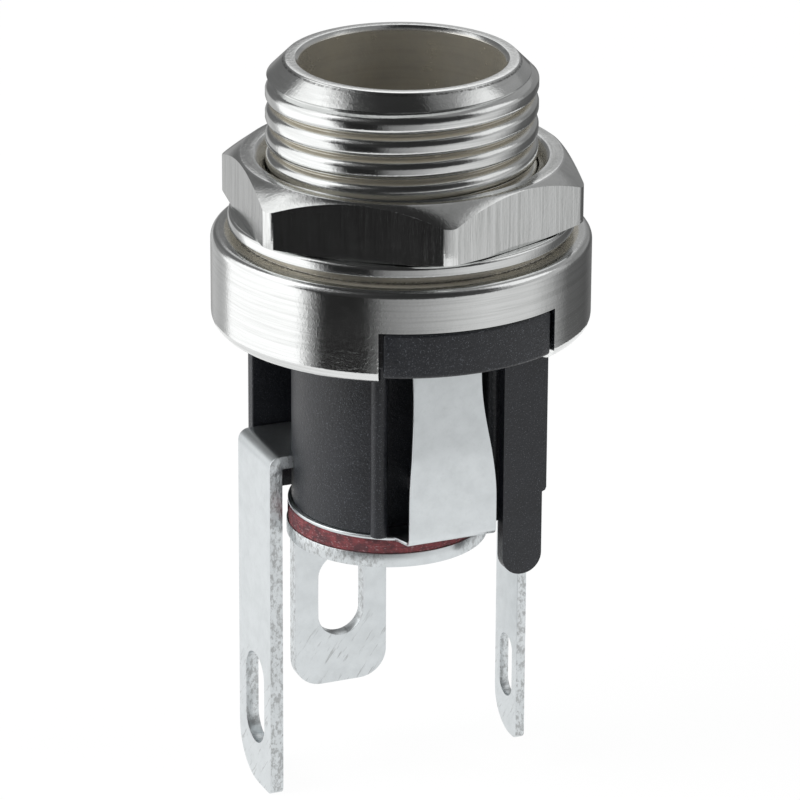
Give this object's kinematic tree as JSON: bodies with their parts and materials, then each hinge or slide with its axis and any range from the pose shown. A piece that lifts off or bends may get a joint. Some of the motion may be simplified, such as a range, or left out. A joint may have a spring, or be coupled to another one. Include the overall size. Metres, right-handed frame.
{
  "type": "dc barrel jack",
  "caption": "Panel-mount DC barrel jack: threaded metal bush with hex nut and washer over a flanged skirt, black insulator, sleeve spring and bent solder lugs.",
  "frame": {"origin": "on the plug's axis, in the plane of the flange's raised seat that meets the panel", "axes": "+Z out of the plug mouth, -Y towards the window with the sleeve spring's leaf, -X towards the long break lug"},
  "size_m": [0.0166, 0.0166, 0.0344],
  "materials": {
    "nickel_plate": "turned brass, bright nickel plated",
    "tin_plate": "stamped brass, bright tin plated",
    "black_plastic": "fine-grained black moulding",
    "red_fibre": "vulcanised fibre, cut edge",
    "pin_plate": "turned brass, nickel plated"
  },
  "bodies": {
    "jack": {"housing": "nickel_plate", "insulator": "black_plastic", "sleeve_spring": "tin_plate", "break_terminal": "tin_plate", "fibre_washer": "red_fibre", "centre_terminal": "tin_plate", "centre_pin": "pin_plate"},
    "washer": {"flat_washer": "nickel_plate"},
    "nut": {"hex_nut": "nickel_plate"}
  },
  "joints": [
    {"name": "washer_slide", "type": "slide", "parent": "jack", "child": "washer", "axis": [0, 0, 1], "range_m": [0, 0.004]},
    {"name": "nut_turn", "type": "hinge", "parent": "washer", "child": "nut", "pos_m": [0, 0, 0.0018], "axis": [0, 0, 1], "range_deg": [0, 1476]}
  ],
  "couplings": [
    {"joint": "nut_turn", "follows": "washer_slide", "rad_per_m": 6283.2}
  ]
}
